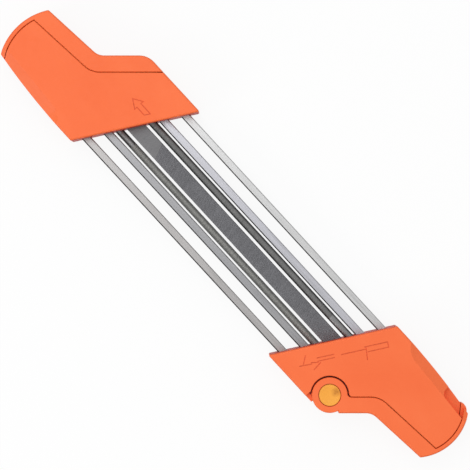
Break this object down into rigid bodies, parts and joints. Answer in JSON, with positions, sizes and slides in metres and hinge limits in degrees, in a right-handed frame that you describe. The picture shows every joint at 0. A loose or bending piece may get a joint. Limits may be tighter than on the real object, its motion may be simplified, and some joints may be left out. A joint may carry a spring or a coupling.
{
  "type": "chainsaw file guide",
  "caption": "Two-handled saw-chain sharpening guide: flat rails, round files and a flat file between slanted plastic handles, with a swinging latch bail on one handle.",
  "frame": {"origin": "middle of the tool's footprint, in the plane of its lower faces", "axes": "+X along the bars towards the handle with the latch bail, +Y across the bars towards that handle's finger lip, +Z square to the broad faces, towards the face with the arrow"},
  "size_m": [0.3584, 0.0684, 0.026],
  "materials": {
    "orange_plastic": "fine-grained satin orange moulding",
    "yellow_plastic": "satin yellow moulding",
    "rail_steel": "bright zinc-plated flat bar",
    "file_steel": "dark hardened file steel",
    "rubber": "matt black rubber",
    "dark_nylon": "matt black filled nylon",
    "screw_steel": "zinc-plated socket screws",
    "pin_steel": "ground steel dowels"
  },
  "bodies": {
    "frame": {"front_handle_upper_shell": "orange_plastic", "front_handle_lower_shell": "orange_plastic", "front_handle_side_cover": "orange_plastic", "front_handle_screws": "screw_steel", "front_bar_holder": "dark_nylon", "front_rail_pins": "pin_steel", "front_file_cushion": "rubber", "rear_handle_upper_shell": "orange_plastic", "rear_handle_lower_shell": "orange_plastic", "rear_handle_screws": "screw_steel", "rear_bar_holder": "dark_nylon", "rear_rail_pins": "pin_steel", "outer_rail_left": "rail_steel", "outer_rail_right": "rail_steel", "inner_rail_left": "rail_steel", "inner_rail_right": "rail_steel", "flat_file": "file_steel"},
    "bail": {"latch_bail": "orange_plastic", "file_stop_pad": "rubber", "bail_pivot_pin": "yellow_plastic", "bail_pivot_cap": "yellow_plastic"},
    "left_round_file": {"round_file_left": "file_steel"},
    "right_round_file": {"round_file_right": "file_steel"}
  },
  "joints": [
    {"name": "bail_hinge", "type": "hinge", "parent": "frame", "child": "bail", "pos_m": [0.1087, -0.02335, 0.013], "axis": [0, 0, 1], "range_deg": [-95, 0]},
    {"name": "left_round_file_turn", "type": "hinge", "parent": "frame", "child": "left_round_file", "pos_m": [0, -0.0089, 0.00996], "axis": [1, 0, 0], "continuous": true},
    {"name": "right_round_file_turn", "type": "hinge", "parent": "frame", "child": "right_round_file", "pos_m": [0, 0.0089, 0.01604], "axis": [1, 0, 0], "continuous": true}
  ]
}
